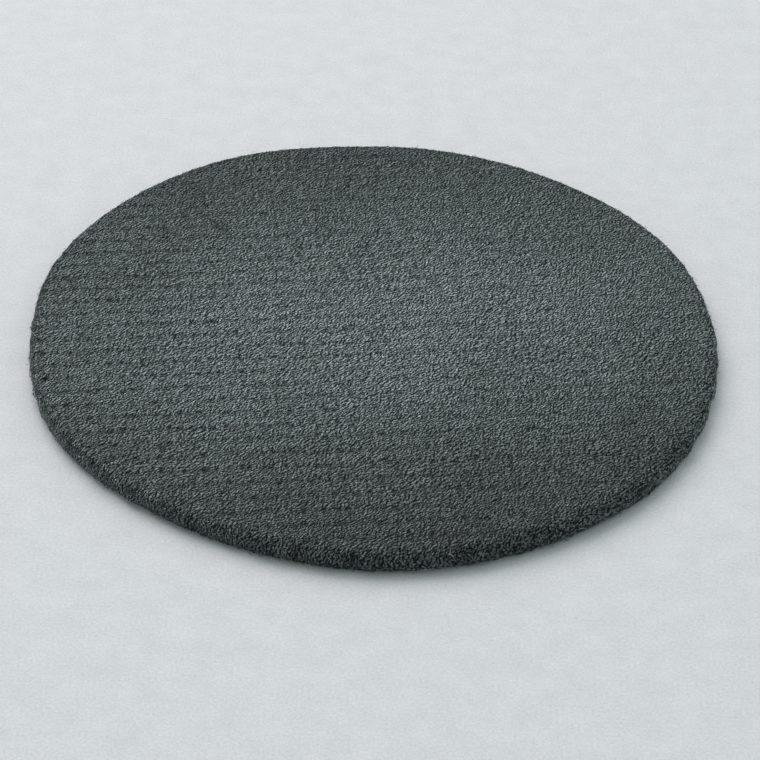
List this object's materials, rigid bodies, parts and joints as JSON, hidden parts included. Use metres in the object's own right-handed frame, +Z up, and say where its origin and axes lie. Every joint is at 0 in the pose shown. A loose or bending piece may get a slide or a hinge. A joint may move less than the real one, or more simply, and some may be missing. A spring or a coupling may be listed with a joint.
{
  "type": "steel wool floor pad",
  "caption": "Round flat pad of needle-punched steel wool felt with pressed, rounded edges, for scrubbing and polishing floors.",
  "frame": {"origin": "middle of the underside, on the surface that the pad lies on", "axes": "+Z up through the thickness, from the underside to the driver face; X and Y lie in the felt, and the web's needle rows run close to +X"},
  "size_m": [0.4292, 0.4316, 0.016],
  "materials": {
    "steel_wool": "dull felted steel fibres, fine glints"
  },
  "bodies": {
    "root": {"wool_pad": "steel_wool"}
  },
  "joints": []
}
